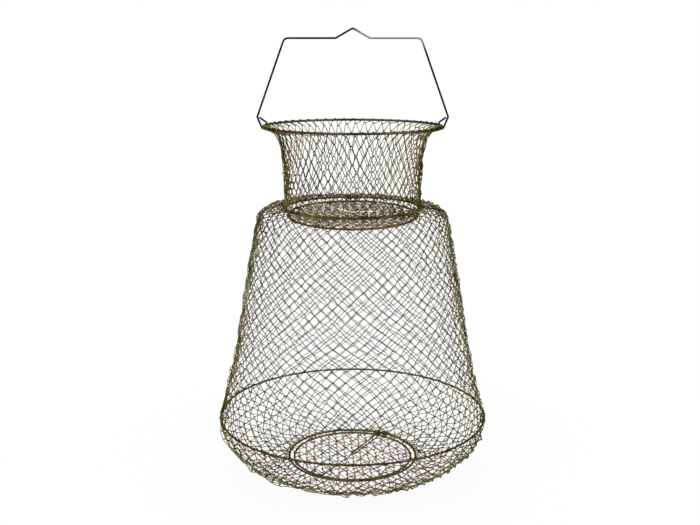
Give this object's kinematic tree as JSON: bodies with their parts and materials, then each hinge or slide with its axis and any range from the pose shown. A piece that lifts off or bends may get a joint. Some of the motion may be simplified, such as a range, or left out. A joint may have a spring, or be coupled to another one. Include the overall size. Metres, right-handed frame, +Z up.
{
  "type": "wire keep net",
  "caption": "Folding fish basket of woven wire: a hanging bail, a flared collar with a sprung trap door in its neck, a wide body on wire rings and a sprung hatch in its rounded bottom.",
  "frame": {"origin": "the underside of the wire at the peak of the bail, where the basket hangs, on the axis of its rings", "axes": "+Z up along the axis of the rings, +X from one end of the bail to the other, +Y to the trap door's hinge"},
  "size_m": [0.3324, 0.3324, 0.535],
  "materials": {
    "dark_wire": "plated steel wire, dark brown, satin",
    "ring_wire": "plated steel wire, olive brown, satin",
    "net_wire": "plated steel mesh wire, olive with pale highlights",
    "brass_wire": "brassy plated steel wire, bright"
  },
  "bodies": {
    "bail": {"bail": "dark_wire"},
    "rim": {"rim_ring": "dark_wire", "collar_net": "net_wire"},
    "neck": {"neck_ring": "ring_wire", "body_net": "net_wire"},
    "girth": {"girth_ring": "ring_wire", "bottom_net": "net_wire"},
    "hatch_frame": {"hatch_frame_ring": "ring_wire"},
    "trap_door": {"trap_door_ring": "ring_wire", "trap_door_net": "net_wire", "trap_door_stay": "brass_wire", "trap_door_spoke": "brass_wire", "trap_door_spring": "brass_wire", "trap_door_hinge_loop_left": "brass_wire", "trap_door_hinge_loop_right": "brass_wire"},
    "hatch": {"hatch_ring": "ring_wire", "hatch_ring_ferrule": "brass_wire", "hatch_net": "net_wire", "hatch_spoke": "brass_wire", "hatch_spring": "brass_wire", "hatch_hinge_loop_left": "brass_wire", "hatch_hinge_loop_right": "brass_wire"}
  },
  "joints": [
    {"name": "bail_swing", "type": "hinge", "parent": "bail", "child": "rim", "pos_m": [0, 0, -0.1147], "axis": [1, 0, 0], "range_deg": [-60, 60]},
    {"name": "collar_collapse", "type": "slide", "parent": "rim", "child": "neck", "axis": [0, 0, 1], "range_m": [0, 0.085], "deforming": ["collar_net"]},
    {"name": "body_collapse", "type": "slide", "parent": "neck", "child": "girth", "axis": [0, 0, 1], "range_m": [0, 0.2473], "deforming": ["body_net"]},
    {"name": "bottom_collapse", "type": "slide", "parent": "girth", "child": "hatch_frame", "axis": [0, 0, 1], "range_m": [0, 0.042], "deforming": ["bottom_net"]},
    {"name": "trap_door_swing", "type": "hinge", "parent": "neck", "child": "trap_door", "pos_m": [0, 0.08056, -0.2089], "axis": [-1, 0, 0], "range_deg": [-85, 0], "stiffness_Nm_per_rad": 0.03, "springref_deg": 85.94},
    {"name": "hatch_swing", "type": "hinge", "parent": "hatch_frame", "child": "hatch", "pos_m": [0.03881, 0.07002, -0.5282], "axis": [-0.8746, 0.4848, 0], "range_deg": [-110, 0], "stiffness_Nm_per_rad": 0.03, "springref_deg": 85.94}
  ]
}
